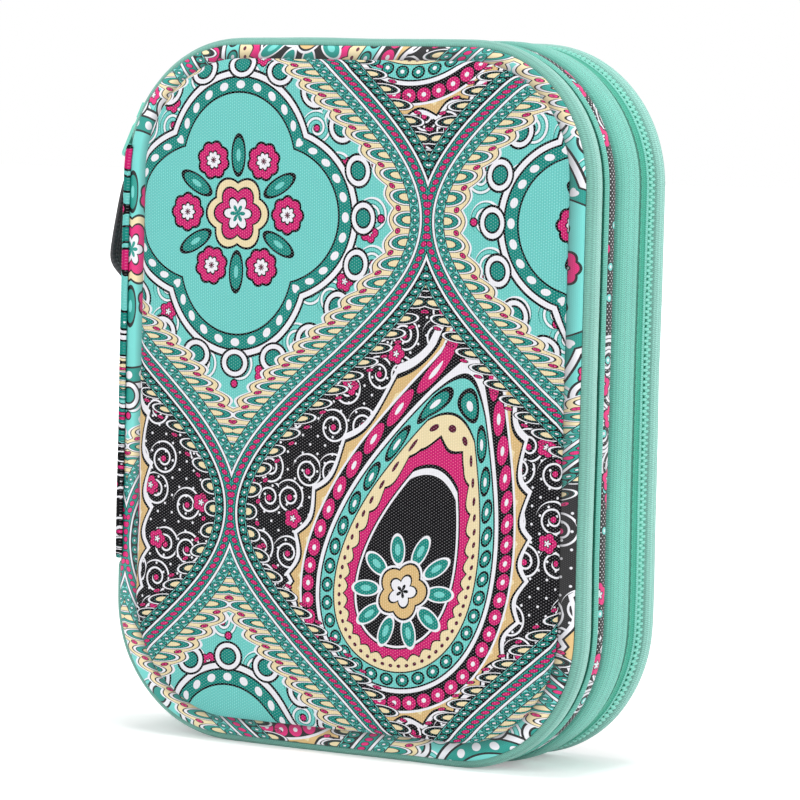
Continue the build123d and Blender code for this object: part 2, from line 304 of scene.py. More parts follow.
def cloth_disc(outline, depth, columns, rows):
    """Sheet that fills an outline at a depth, its rows closer together towards the edge."""
    bm = bmesh.new()
    bmesh.ops.create_grid(bm, x_segments=columns, y_segments=rows, size=1)
    across, up = outline.straight
    radius = outline.radius
    for vert in bm.verts:
        x, z = (math.copysign(1 - (1 - abs(c)) ** 1.5, c) for c in vert.co.xy)
        x, z = x * (across + radius), z * (up + radius)
        px, pz = max(abs(x) - across, 0) / radius, max(abs(z) - up, 0) / radius
        if px > 0 and pz > 0:
            x = math.copysign(across + radius * px * math.sqrt(1 - pz * pz / 2), x)
            z = math.copysign(up + radius * pz * math.sqrt(1 - px * px / 2), z)
        vert.co = (outline.centre.x + x, depth, outline.centre.y + z)
    return bm


# Inks of the all-over print
INKS = {
    "turquoise": linear(122, 221, 214),
    "teal": linear(30, 158, 146),
    "cream": linear(248, 230, 184),
    "tan": linear(236, 200, 138),
    "magenta": linear(238, 40, 130),
    "night": linear(12, 11, 16),
    "lavender": linear(246, 245, 251),
    "maroon": linear(104, 26, 58),
    "outline": linear(6, 6, 10),
    "charcoal": linear(88, 86, 94),
}

# Pitch of the ribs of the zip tape, in millimetres
TAPE_RIB = 0.62

# Added to the distance from a motif where the motif is left out
FAR_OFF = 90.0

# Repeat of the print in millimetres, the steepest lean of its ogee curves, and their length in a repeat.
# Its motifs are drawn at their own scale in the cells, and at another along the curves.
OGEE_ACROSS, OGEE_UP = 132.0, 176.0
OGEE_LEAN = OGEE_ACROSS / 4 * math.tau / OGEE_UP
LEAN_STRETCH = math.hypot(1, OGEE_LEAN)
OGEE_RUN = OGEE_UP * (LEAN_STRETCH + 1) / 2
MOTIF_SCALE, BORDER_SCALE = 1.5, 0.72

# Cloth patterns: numbers and colours worked out by nodes


class Field:
    """A number that changes over the cloth, built up from Math nodes in one node tree."""

    def __init__(self, tree, value):
        self.tree = tree
        self.value = value

    def math(self, operation, *others):
        node = new_node(self.tree, "ShaderNodeMath", operation=operation)
        for socket, item in zip(node.inputs, (self, *others)):
            plug(self.tree, item, socket)
        return Field(self.tree, node.outputs[0])

    def __rsub__(self, other):
        return Field(self.tree, other).math("SUBTRACT", self)

    def wrapped(self, period):
        """The distance from the nearest whole period, from minus half of it to plus half."""
        return self.math("WRAP", period / 2, -period / 2)

    __add__ = __radd__ = partialmethod(math, "ADD")
    __sub__ = partialmethod(math, "SUBTRACT")
    __mul__ = __rmul__ = partialmethod(math, "MULTIPLY")
    __truediv__ = partialmethod(math, "DIVIDE")
    __abs__ = partialmethod(math, "ABSOLUTE")
    floor = partialmethod(math, "FLOOR")
    sin = partialmethod(math, "SINE")
    cos = partialmethod(math, "COSINE")
    sqrt = partialmethod(math, "SQRT")
    least = partialmethod(math, "MINIMUM")
    most = partialmethod(math, "MAXIMUM")
    below = partialmethod(math, "LESS_THAN")
    above = partialmethod(math, "GREATER_THAN")
    near = partialmethod(math, "COMPARE")


def plug(tree, item, socket):
    """Sets a socket to a number, or links it to a field or another socket."""
    value = item.value if isinstance(item, Field) else item
    if isinstance(value, bpy.types.NodeSocket):
        tree.links.new(value, socket)
    else:
        socket.default_value = value


def new_node(tree, kind, **settings):
    node = tree.nodes.new(kind)
    for name, value in settings.items():
        setattr(node, name, value)
    return node


def radius_of(x, z):
    return (x * x + z * z).sqrt()


def angle_of(x, z):
    return z.math("ARCTAN2", x)


def bumpy(angle, count):
    """Rounded bumps from 0 to 1, twice a count of them to a turn."""
    return abs((angle * count).cos())


def mixed(tree, first, second, mask, blend="MIX"):
    """One colour where the mask is 0, and where it is 1 the other or the two blended."""
    node = new_node(tree, "ShaderNodeMix", data_type="RGBA", blend_type=blend)
    for index, item in ((0, mask), (6, first), (7, second)):
        plug(tree, item, node.inputs[index])
    return node.outputs[2]


def tinted(tree, colour, factor):
    """A colour multiplied by a grey factor."""
    return mixed(tree, colour, factor, 1.0, "MULTIPLY")


VECTOR, FLOAT, COLOR = "NodeSocketVector", "NodeSocketFloat", "NodeSocketColor"


def new_group(name, inputs, outputs):
    """Empty node group, its input node and its output node. Its sockets are named with their kinds, or a
    plain number's with its default."""
    tree = bpy.data.node_groups.new(name, "ShaderNodeTree")
    for way, sockets in (("INPUT", inputs), ("OUTPUT", outputs)):
        for socket, kind in sockets.items():
            if isinstance(kind, str):
                tree.interface.new_socket(name=socket, in_out=way, socket_type=kind)
            else:
                made = tree.interface.new_socket(name=socket, in_out=way, socket_type=FLOAT)
                made.default_value = kind
    return tree, tree.nodes.new("NodeGroupInput"), tree.nodes.new("NodeGroupOutput")


def split(tree, socket):
    """X and Y of a vector socket as fields."""
    node = tree.nodes.new("ShaderNodeSeparateXYZ")
    tree.links.new(socket, node.inputs[0])
    return Field(tree, node.outputs[0]), Field(tree, node.outputs[1])


def plain_weave_group():
    """Over-and-under yarns: their height, a grey factor of painted shade between them and painted light on
    their tops, and the tops of its warp.
    """
    sockets = {"Height": FLOAT, "Painted yarn shade": FLOAT, "Top": FLOAT}
    tree, start, end = new_group("Plain weave", {"Cloth mm": VECTOR, "Pitch": 0.6}, sockets)
    x, z = split(tree, start.outputs["Cloth mm"])
    pitch = Field(tree, start.outputs["Pitch"])
    column, row = x / (pitch * 1.25), z / (pitch * 0.75)
    warp = abs((column * math.pi).sin())
    weft = abs((row * math.pi).sin())
    over = abs((column.floor() + row.floor()).math("MODULO", 2.0))
    height = warp * (0.4 + 0.6 * over) * (0.35 + 0.65 * weft)
    height = height.most(weft * (0.8 - 0.5 * over) * (0.35 + 0.65 * warp))
    plug(tree, height, end.inputs["Height"])
    # Painted shade and light: darker where the yarns lie low, lighter on their tops
    plug(tree, 0.6 + 0.66 * height, end.inputs["Painted yarn shade"])
    plug(tree, over * (warp * weft).above(0.6), end.inputs["Top"])
    return tree


def tape_weave_group():
    """Woven zip tape: fine ribs across it, drawn into chevrons between its lengthwise cords, and a grey
    factor of painted shade in their hollows and painted light on their tops.
    """
    sockets = {"Height": FLOAT, "Painted rib shade": FLOAT}
    tree, start, end = new_group("Tape weave", {"Cloth mm": VECTOR, "Pitch": 0.75}, sockets)
    u, v = split(tree, start.outputs["Cloth mm"])
    cord_pitch = 1.2
    slant = abs(v.wrapped(2 * cord_pitch)) * 0.35
    rib = ((u + slant) / Field(tree, start.outputs["Pitch"]) * math.tau).sin()
    cord = (v * (math.tau / cord_pitch)).cos()
    height = rib * 0.35 + cord * 0.2 + 0.5
    plug(tree, height, end.inputs["Height"])
    # Painted shade and light: darker in the hollows of the ribs and cords, lighter on their tops
    plug(tree, 0.68 + 0.4 * height, end.inputs["Painted rib shade"])
    return tree


class Inks:
    """Inks printed one over another, each where its mask is 1."""

    def __init__(self, tree, ink):
        self.tree = tree
        self.colour = (*INKS[ink], 1)

    def lay(self, ink, mask):
        self.colour = mixed(self.tree, self.colour, (*INKS[ink], 1), mask)

    def within(self, distance, *rings, side=Field.below):
        """Lays rings where the distance is below their reach, the widest first. A ring is its reach and its
        ink, after the reach of its outline if it has one."""
        for *reaches, ink in rings:
            for reach, laid in zip(reaches, ("outline", ink)[-len(reaches):]):
                self.lay(laid, side(distance, reach))

    def beyond(self, distance, *rings):
        """Lays rings where the distance is above their reach, the lowest first."""
        self.within(distance, *rings, side=Field.above)


def cell_centres(tree, cloth, spacing, randomness):
    """Position within the cells of a scattered pattern, and a random number for each cell."""
    cells = new_node(tree, "ShaderNodeTexVoronoi", voronoi_dimensions="2D")
    for name, item in (("Vector", cloth), ("Scale", 1 / spacing), ("Randomness", randomness)):
        plug(tree, item, cells.inputs[name])
    local = new_node(tree, "ShaderNodeVectorMath", operation="SUBTRACT")
    plug(tree, cloth, local.inputs[0])
    plug(tree, cells.outputs["Position"], local.inputs[1])
    return *split(tree, local.outputs[0]), split(tree, cells.outputs["Color"])[0]


def ornament_group():
    """All-over print in millimetres of cloth: an ogee lattice with scalloped borders, rosettes in its
    light cells, paisleys in its dark ones, and scrolls, flowers and pin dots between."""
    tree, start, end = new_group("Ornament print", {"Cloth mm": VECTOR}, {"Color": COLOR})
    cloth = start.outputs["Cloth mm"]
    x, z = split(tree, cloth)
    phase = z * (math.tau / OGEE_UP)
    sway = phase.cos() * (OGEE_ACROSS / 4)
    left, right = x - sway, x + (sway - OGEE_ACROSS / 2)
    dark = ((left / OGEE_ACROSS).floor() + (right / OGEE_ACROSS).floor()).math("PINGPONG", 1.0)
    only_light, only_dark = dark * FAR_OFF, (1 - dark) * FAR_OFF
    lean = phase.sin() * OGEE_LEAN
    nearest = abs(left.wrapped(OGEE_ACROSS)).least(abs(right.wrapped(OGEE_ACROSS)))
    border = nearest / (lean * lean + 1).sqrt() / BORDER_SCALE
    swell = (LEAN_STRETCH - 1) / 2 * OGEE_UP / (4 * math.pi)
    run = (z * (OGEE_RUN / OGEE_UP) - (phase * 2).sin() * swell) / BORDER_SCALE
    wide, middle, tight = (OGEE_RUN / BORDER_SCALE / count for count in (34, 80, 98))
    cx = (x + (dark - 1.5) * (OGEE_ACROSS / 2)).wrapped(OGEE_ACROSS) / MOTIF_SCALE
    cz = (z - dark * (OGEE_UP / 2)).wrapped(OGEE_UP) / MOTIF_SCALE
    inks = Inks(tree, "turquoise")

    # Dark ground with its dots
    inks.lay("night", dark)
    inks.lay("lavender", pin_dots(x, z, 5.2).below(0.55) * dark)

    # Scrolls scattered over both grounds
    arm, heart, _ = scattered_scrolls(tree, cloth, 12.5, 0.55, pitch=2.3, size=5.4)
    inks.within(arm + only_light, (0.3, "teal"), (0.16, "lavender"))
    inks.within(arm + only_dark, (0.13, "lavender"))
    inks.within(heart, (1.25, 0.85, "magenta"))

    # Small flowers
    petals, chance = scattered_flowers(tree, cloth, 17.0, 0.8, notch=0.8)
    inks.within(petals + chance.below(0.35) * FAR_OFF, (2.5, 2.1, "magenta"), (0.55, 0.2, "lavender"))

    # Rosette of the light cells: a wide ring of four lobes, petals round it, roundels and leaves within
    turn = angle_of(cx, cz)
    ring = radius_of(cx, cz) + only_light
    four = ring - bumpy(turn, 2) * 5.5
    inks.within(four, (23.2, 22.7, "lavender"), (21.6, 21.2, "teal"), (18.6, 18.2, "turquoise"))
    inks.within(radius_of((turn * 20).wrapped(math.pi), four - 19.9), (0.8, "lavender"))
    px, pz = spoke(ring, turn, 20, 29.5)
    inks.within(radius_of(px / 2.1, pz / 2.4), (1.45, 1.25, "lavender"), (0.85, 0.68, "teal"))
    inks.within(radius_of(*spoke(ring, turn, 20, 33.6)), (0.95, 0.65, "magenta"))
    px, pz = spoke(ring, turn, 6, 12.0)
    roundel = radius_of(px, pz) - bumpy(angle_of(px, pz), 4) * 0.5
    inks.within(roundel, (3.5, 3.0, "magenta"), (1.5, 1.15, "lavender"), (0.2, "maroon"))
    px, pz = spoke(ring, turn + math.tau / 12, 6, 11.5)
    inks.within(radius_of(px / 3.6, pz / 1.45), (1.2, 0.95, "teal"), (0.35, "turquoise"))
    six = ring - bumpy(turn, 3) * 1.4
    inks.within(six, (6.3, 5.8, "cream"), (4.4, 4.0, "magenta"), (2.2, 1.8, "lavender"), (0.4, "teal"))

    # Paisley of the dark cells, its tip bent over
    tall, broad, foot, heart = 68, 2700, 33, 13
    high = (cz + foot) / tall
    taper = (1 - high).most(0)
    bent = cx + 5 - high * high * 17
    width = high * taper * taper * broad
    slope = (taper * taper - high * taper * 2) * (broad / tall) + bent * high
    inside = (width - bent * bent) / radius_of(bent * 2, slope).most(17) - 0.25 - only_dark
    about = angle_of(bent, cz + heart)
    trail = about * 17
    frill = inside - bumpy(trail, math.pi / 5.0) * 1.5
    inks.beyond(frill, (-6.6, "lavender"), (-5.9, -5.5, "tan"), (-4.2, "cream"))
    inks.beyond(inside, (-3.7, "lavender"), (-3.3, "night"))
    chain = radius_of(trail.wrapped(2.67), inside + 2.0)
    inks.within(chain, (1.2, "magenta"), (0.4, "lavender"))
    inks.beyond(inside, (-0.6, -0.2, "lavender"), (0.6, 0.95, "turquoise"))
    loop = radius_of(trail.wrapped(3.56), inside - 2.6)
    inks.within(loop, (1.5, 1.1, "teal"), (0.45, "lavender"))
    inks.beyond(inside, (4.3, 4.65, "cream"))
    inks.within(radius_of(trail.wrapped(2.14), inside - 6.2), (0.5, "maroon"))
    inks.beyond(inside - bumpy(trail, math.pi / 3.56) * 1.5, (7.4, 7.9, "magenta"))
    inks.beyond(inside, (11.8, 12.4, "lavender"), (13.4, "night"))
    middle_ring = radius_of(bent, cz + heart) + only_dark
    px, pz = spoke(middle_ring, about, 10, 8.4)
    inks.within(radius_of(px / 3.0, pz / 1.5), (1.1, "lavender"), (0.9, "teal"), (0.4, "turquoise"))
    blossom = middle_ring - bumpy(about, 2.5) * 1.3
    inks.within(blossom, (5.0, "lavender"), (4.5, 4.1, "tan"), (2.2, 1.8, "lavender"), (0.1, "outline"))

    # Borders along the ogee curves
    scallop = border - bumpy(run, math.pi / wide) * 2.6 + only_light
    inks.within(scallop, (16.2, "lavender"), (15.3, 14.9, "cream"))
    dot = radius_of((run + wide / 2).wrapped(wide), border - 13.2)
    inks.within(dot, (1.3, 0.95, "magenta"), (0.3, "outline"))
    drop = radius_of(run.wrapped(wide) / 3.6, (border - 8.6) / (7.6 - dark * 2.4))
    inks.within(drop, (1.0, 0.93, "lavender"), (0.79, 0.74, "teal"), (0.47, 0.4, "cream"))
    inks.lay("night", drop.near(0.61, 0.12) * dark)
    inks.within(border, (7.9, 7.5, "turquoise"))
    inks.lay("night", border.below(7.2) * dark)
    link = radius_of(run.wrapped(middle), border - 5.6)
    inks.within(link, (1.85, 1.6, "teal"), (0.75, 0.5, "lavender"))
    inks.within(border, (3.7, 3.35, "lavender"), (2.4, 2.0, "teal"))
    inks.within(radius_of(run.wrapped(tight), border), (1.4, 1.1, "magenta"))
    plug(tree, inks.colour, end.inputs["Color"])
    return tree


def scroll_group():
    """Line-drawn print of the bindings in millimetres of cloth: bold scrolls, rings and sprigs on a
    charcoal ground, or on a dark one with pin dots."""
    tree, start, end = new_group("Scroll print", {"Cloth mm": VECTOR, "Dark": 0.0}, {"Color": COLOR})
    cloth = start.outputs["Cloth mm"]
    dark = Field(tree, start.outputs["Dark"])
    x, z = split(tree, cloth)
    inks = Inks(tree, "charcoal")
    inks.within(abs((x + z * 0.6).wrapped(0.9)), (0.16, "outline"))
    inks.lay("night", dark)
    inks.lay("lavender", pin_dots(x, z, 1.6).below(0.27) * dark)
    arm, heart, chance = scattered_scrolls(tree, cloth, 11.0, 0.7, pitch=3.1, size=7.4)
    arm = arm + dark * chance.above(0.45)
    inks.within(arm, (0.4, 0.31, "lavender"), (0.05, "charcoal"))
    inks.within(heart, (1.5, 1.1, "turquoise"), (0.5, "lavender"))
    petals, chance = scattered_flowers(tree, cloth, 15.0, 0.9, notch=0.9)
    petals = petals + (chance + dark).below(0.5) * FAR_OFF
    inks.within(petals, (3.0, 2.5, "magenta"), (0.8, 0.4, "lavender"))
    plug(tree, inks.colour, end.inputs["Color"])
    return tree


def spoke(ring, turn, count, reach):
    """Place along and across from the point at a reach on the nearest of a count of spokes."""
    part = turn.wrapped(math.tau / count)
    return ring * part.cos() - reach, ring * part.sin()


def pin_dots(x, z, pitch):
    return radius_of((x + z).wrapped(pitch), (x - z).wrapped(pitch))


def scattered_scrolls(tree, cloth, spacing, randomness, pitch, size):
    """Distances from the arms and from the hearts of scattered scrolls, and a random number for each."""
    x, z, chance = cell_centres(tree, cloth, spacing, randomness)
    reach = radius_of(x, z)
    arm = abs((reach / pitch - angle_of(x, z) / math.tau).wrapped(1.0)) + reach.above(size)
    return arm, reach, chance


def scattered_flowers(tree, cloth, spacing, randomness, notch):
    """Distance from the hearts of scattered flowers of five petals, and a random number for each."""
    x, z, chance = cell_centres(tree, cloth, spacing, randomness)
    return radius_of(x, z) - bumpy(angle_of(x, z), 2.5) * notch, chance


def worn_colour_group():
    """Slow change of shade over a surface, from handling and from uneven dye."""
    sockets = {"Color": COLOR, "Place": VECTOR, "Amount": 0.08}
    tree, start, end = new_group("Worn colour", sockets, {"Color": COLOR})
    cloud = tree.nodes.new("ShaderNodeTexNoise")
    for name, item in (("Scale", 45.0), ("Detail", 4.0), ("Vector", start.outputs["Place"])):
        plug(tree, item, cloud.inputs[name])
    value = (Field(tree, cloud.outputs["Fac"]) - 0.5) * start.outputs["Amount"] * 2 + 1
    shade = tree.nodes.new("ShaderNodeHueSaturation")
    plug(tree, value, shade.inputs["Value"])
    plug(tree, start.outputs["Color"], shade.inputs["Color"])
    plug(tree, shade.outputs["Color"], end.inputs["Color"])
    return tree


def shared(maker):
    """A shared node group, built the first time it is asked for."""
    key = maker.__name__
    if key not in shared.made:
        shared.made[key] = maker()
    return shared.made[key]


shared.made = {}


def group_node(tree, maker, **values):
    node = tree.nodes.new("ShaderNodeGroup")
    node.node_tree = shared(maker)
    for name, value in values.items():
        plug(tree, value, node.inputs[name.replace("_", " ")])
    return node


def worn(tree, colour, amount=0.08):
    """A colour with the slow change of shade of the shared group, over the object."""
    place = tree.nodes.new("ShaderNodeTexCoord").outputs["Object"]
    return group_node(tree, worn_colour_group, Color=colour, Place=place, Amount=amount).outputs[0]


def cloth_mm(tree, shift=(0.0, 0.0)):
    """The piece's cloth map in millimetres of pattern, moved by a shift."""
    source = new_node(tree, "ShaderNodeUVMap", uv_map="Cloth")
    place = tree.nodes.new("ShaderNodeMapping")
    for name, item in (("Vector", source.outputs[0]), ("Location", (*shift, 0)), ("Scale", (1000,) * 3)):
        plug(tree, item, place.inputs[name])
    return place.outputs[0]


def surface(name, roughness, sheen=0.0, **settings):
    """New material with its Principled shader, whose plain numbers are set on the shader itself."""
    material = bpy.data.materials.new(name)
    material.use_nodes = True
    tree = material.node_tree
    shader = tree.nodes["Principled BSDF"]
    shader.inputs["Roughness"].default_value = roughness
    shader.inputs["Sheen Weight"].default_value = sheen
    for socket, value in settings.items():
        shader.inputs[socket.replace("_", " ")].default_value = value
    return material, tree, shader


def woven(name, weave_maker, pitch, depth, colour_of, roughness, sheen=0.0, **settings):
    """New woven cloth with the relief of its weave. colour_of gives its colour from its node tree and the
    outputs of its weave."""
    material, tree, shader = surface(name, roughness, sheen, **settings)
    weave = group_node(tree, weave_maker, Cloth_mm=cloth_mm(tree), Pitch=pitch).outputs
    relief = tree.nodes.new("ShaderNodeBump")
    plug(tree, depth, relief.inputs["Distance"])
    plug(tree, weave["Height"], relief.inputs["Height"])
    plug(tree, relief.outputs[0], shader.inputs["Normal"])
    plug(tree, colour_of(tree, weave), shader.inputs["Base Color"])
    return material


def tape_material(name, colour, groove, shade):
    """Woven zip tape: its dye, painted shade in the groove of the outer zip, a deeper painted shade under
    the coils, in the slit and along the seam, and a chevron weave down the middle of the wide tape."""

    def dyed(tree, weave):
        u, v = split(tree, cloth_mm(tree))
        pale = tuple(c + (1 - c) * 0.3 for c in colour)
        # Stitches draw the edge of the painted shade along the groove's seam into small scallops
        scallops = abs(u.wrapped(2.6)) * 0.25
        # Painted shade beside the seams and folds: where they lie across the tape, and how far the painted
        # shade reaches
        painted_seam_shade = 1.0
        for seam, reach in ((-22.1, 4.0), (-7.1, 5.0), (15.7, 2.0)):
            away = v - seam
            painted_seam_shade = (away / reach).most(away.below(-0.3)).least(painted_seam_shade)
        cloth_colour = (*colour, 1)
        # Over the dye: the paler outer tapes, painted shade in the groove with the dye kept on its raised
        # cord, deeper painted shade along the groove's seam and in the slit, and painted shade beside the
        # seams
        for dye_and_painted_shade, mask in (
            (pale, v.above(15.7).most(v.below(-14.6)) * 0.6),
            (groove, v.near(11.0, 4.4)),
            (colour, v.near(11.1, 0.7)),
            (shade, (v - scallops).near(7.0, 1.0).most(v.near(-14.0, 0.8))),
            (shade, (1 - painted_seam_shade) * 0.5),
        ):
            cloth_colour = mixed(tree, cloth_colour, (*dye_and_painted_shade, 1), mask)
        across = abs(v - 0.1)
        chevron = abs((u + across * 0.9).wrapped(1.25)).below(0.3) * abs(across - 1.9).below(0.75)
        # Painted shade of the weave darkens the colour in the hollows of its ribs
        with_painted_rib_shade = tinted(tree, worn(tree, cloth_colour), weave["Painted rib shade"])
        return tinted(tree, with_painted_rib_shade, 1 - chevron * 0.2)

    return woven(name, tape_weave_group, TAPE_RIB, 0.2 * MM, dyed, 0.7, 0.25, Sheen_Roughness=0.4)


def webbing_material(name, colour, pitch, depth):
    """Narrow woven strap or elastic: thick ribs across it and fine cords along it."""

    def dyed(tree, weave):
        # Painted shade of the weave darkens the dye in the hollows of its ribs
        return tinted(tree, worn(tree, (*colour, 1), 0.15), weave["Painted rib shade"])

    return woven(name, tape_weave_group, pitch, depth, dyed, 0.62, 0.2)


def edge_shade(tree, reach, depth):
    """Grey factor of painted shade that darkens cloth towards the crease its Edge map measures from, in
    millimetres.
    """
    source = new_node(tree, "ShaderNodeUVMap", uv_map="Edge")
    away = split(tree, source.outputs[0])[0] * (1000 / reach)
    return 1 - depth + away.most(0).least(1) * depth


def binding_material(name, roughness, dark):
    """Smooth cloth with the line-drawn print, slightly shiny."""

    def printed(tree, weave):
        design = group_node(tree, scroll_group, Cloth_mm=cloth_mm(tree), Dark=dark)
        # Painted shade between the yarns and painted light on their tops
        return tinted(tree, design.outputs["Color"], weave["Painted yarn shade"])

    return woven(name, plain_weave_group, 0.3, 0.04 * MM, printed, roughness, 0.1)


def printed_material(name, shift, pitch, roughness, depth, grain, gloss, painted_crease_shade=False):
    """Cloth with the all-over print, from another part of its repeat. The print is worn off the tops of the
    yarns, and painted shade darkens it between them, more where its inks are dark; grain says how much."""

    def printed(tree, weave):
        design = group_node(tree, ornament_group, Cloth_mm=cloth_mm(tree, shift)).outputs["Color"]
        light = tree.nodes.new("ShaderNodeRGBToBW")
        plug(tree, design, light.inputs[0])
        bare = Field(tree, weave["Top"]) * (grain * 0.2)
        # Painted shade between the yarns, deeper where the inks are dark
        painted_gap_shade = (1 - Field(tree, weave["Height"])) * (0.62 - Field(tree, light.outputs[0]) * 0.5)
        colour = mixed(tree, design, (*INKS["lavender"], 1), bare)
        colour = tinted(tree, colour, 1.02 - painted_gap_shade * grain)
        # Painted shade darkens the binding towards the crease along the panel's edge
        return tinted(tree, colour, edge_shade(tree, 3.2, 0.55)) if painted_crease_shade else colour

    return woven(name, plain_weave_group, pitch, depth, printed, roughness, Specular_IOR_Level=gloss)


def plain_cloth(name, colour, pitch, roughness):
    """Plain woven cloth in one dye."""

    def dyed(tree, weave):
        # Painted shade between the yarns and painted light on their tops
        return tinted(tree, (*colour, 1), weave["Painted yarn shade"])

    return woven(name, plain_weave_group, pitch, 0.1 * MM, dyed, roughness, 0.2)


def nylon_material(name, colour):
    """Smooth moulded or drawn nylon."""
    material, tree, shader = surface(name, 0.38)
    plug(tree, worn(tree, (*colour, 1)), shader.inputs["Base Color"])
    return material


def net_material(name, colour):
    """Open nylon net: the holes are seen through."""
    material, tree, shader = surface(name, 0.6)
    shader.inputs["Base Color"].default_value = (*colour, 1)
    x, z = split(tree, cloth_mm(tree))
    pitch = 1.6
    cord = abs((x + z).wrapped(pitch)).least(abs((x - z).wrapped(pitch)))
    plug(tree, cord.below(0.24), shader.inputs["Alpha"])
    return material


# Pieces


def panel(name, body, node, foam, inward, material):
    """Padded cover panel: canvas drawn over foam, crowned, with its edge rolled back."""
    low, high = box_of(node)
    face = low.y if inward > 0 else high.y
    margin, dip, crown = 1.6 * MM, 0.75 * MM, bpy.context.scene.case_sizes.crown
    bm = cloth_disc(PANEL.inset(margin), 0.0, columns=112, rows=146)
    for vert in bm.verts:
        distance = -PANEL.outward(vert.co.x, vert.co.z)[0]
        rise = 1 - math.exp(-distance / (22 * MM))
        vert.co.y = face + inward * (dip * math.exp((margin - distance) / (1.7 * MM)) - crown * rise)
    rim = [edge for edge in bm.edges if edge.is_boundary]
    # The rolled edge: how far each row reaches out, and how far it lies back
    for reach, back in [(0.95, 0.35), (1.35, 0.75), (1.45, 1.25), (1.2, 1.7), (0.6, 2.05)]:
        made = bmesh.ops.extrude_edge_only(bm, edges=rim)["geom"]
        verts = {g for g in made if is_vert(g)}
        rim = [g for g in made if is_edge(g) and set(g.verts) <= verts]
        for vert in verts:
            distance, direction = PANEL.outward(vert.co.x, vert.co.z)
            shift = direction * (reach * MM - margin - distance)
            vert.co += Vector((shift.x, 0, shift.y))
            vert.co.y = face + inward * (dip + back * MM)
    finished(bm, rim)

    def place(co, _centre):
        direction = PANEL.outward(co.x, co.z)[1]
        rolled = max(0.0, inward * (co.y - face) - dip)
        return co.x + direction.x * rolled, co.z + direction.y * rolled

    mapped(bm, place)
    for vert in bm.verts:
        edge = math.exp(PANEL.outward(vert.co.x, vert.co.z)[0] / (6 * MM))
        slow = noise.noise(vert.co / (26 * MM))
        fine = noise.noise(vert.co / (4.2 * MM))
        vert.co.y -= inward * (slow * 0.45 + fine * 0.22 * edge) * MM
    obj = piece(bm, name, body, material, (node, foam))


def gusset(name, body, node, inward, material):
    """Cloth ring that slopes from under the panel out to the zip tape, its edge there rolled in."""
    low, high = box_of(node)
    top, seam = (low.y, high.y) if inward > 0 else (high.y, low.y)
    tuck, roll, steps = 1.2 * MM, 2.1 * MM, 8
    profile = [(n / steps, 0.0) for n in range(steps + 1)]
    bm = swept(CASE, profile, closed=False, step=3 * MM, corner_steps=24)
    for vert in bm.verts:
        share = vert.co.y
        reach, direction = PANEL.outward(vert.co.x, vert.co.z)
        out = CASE.outward(vert.co.x, vert.co.z)[1]
        shift = direction * (reach + tuck) * (1 - share) + out * roll * share
        vert.co.x -= shift.x
        vert.co.z -= shift.y
        bulge = math.sin(math.pi * share) * MM
        wave = noise.noise(Vector((vert.co.x, 0, vert.co.z)) / (5 * MM))
        vert.co.y = top + (seam - top) * share**0.9 - inward * (0.4 + 0.22 * wave) * bulge
    mapped(bm, facing)
    mapped(bm, lambda co, _centre: (PANEL.outward(co.x, co.z)[0], 0), "Edge")
    obj = piece(finished(bm), name, body, material, (node,))
    subdivided(thickened(obj, 0.6 * MM))


def band(name, body, node, profile, material):
    """Band of tape or cloth round the case, open at the spine: profile points are (depth, inset) in mm."""
    points = [(y * MM, inset * MM) for y, inset in profile]
    bm = mapped(swept(CASE, points, gap=SPINE_GAP, step=4 * MM), round_case)
    relaxed(bm, 0.22 * MM, 30 * MM, 0.07 * MM, 4 * MM)
    subdivided(piece(bm, name, body, material, (node,)))


def spine_run(profile, closed=True):
    """Mesh of a profile of (depth, inset) points in mm run up the spine side and over the start of its
    corner, with its cloth map."""
    bottom, corner = SPINE_LOW.z, CASE.top - CASE.radius
    points = [(CASE.left + inset * MM, depth * MM, bottom) for depth, inset in profile]
    bm, first = started(points, closed)
    geom = pulled(bm, first, Vector((0, 0, corner - bottom)), round((corner - bottom) / (4 * MM)))
    angle = math.asin((SPINE_HIGH.z - corner) / CASE.radius)
    geom = turned(bm, geom, (CASE.left + CASE.radius, corner), -angle, 3)
    ends = (first, geom) if closed else ()
    return mapped(finished(bm, *ends), lambda co, _centre: (co.y, co.z))


def spine_cloth(material):
    """Printed canvas over the spine board, slightly puffed between its edge seams."""
    puffed = [(-21.9, 0.7), (-21.5, 0.1), (-19.0, -0.1), (-12.0, -0.35), (-4.0, -0.5)]
    profile = [*puffed, *((-depth, inset) for depth, inset in reversed(puffed))]
    profile += [(21.8, 2.05), (0.0, 2.1), (-21.8, 2.05)]
    bm = relaxed(spine_run(profile), 0.22 * MM, 30 * MM, 0.05 * MM)
    nodes = ("spine_canvas", "spine_board")
    subdivided(piece(bm, "spine_cloth", MIDDLE, material, nodes))


def on_spine(y, z, lift):
    """Point on the spine's canvas at a depth and a height, and the way it faces."""
    lean = math.asin(max(0.0, z - CASE.top + CASE.radius) / CASE.radius)
    facing_way = Vector((-math.cos(lean), 0, math.sin(lean)))
    puff = 0.5 * MM - 0.4 * MM * (y / (19 * MM)) ** 2
    point = Vector((CASE.left + CASE.radius * (1 - math.cos(lean)), y, z))
    return point + facing_way * (puff + lift), facing_way


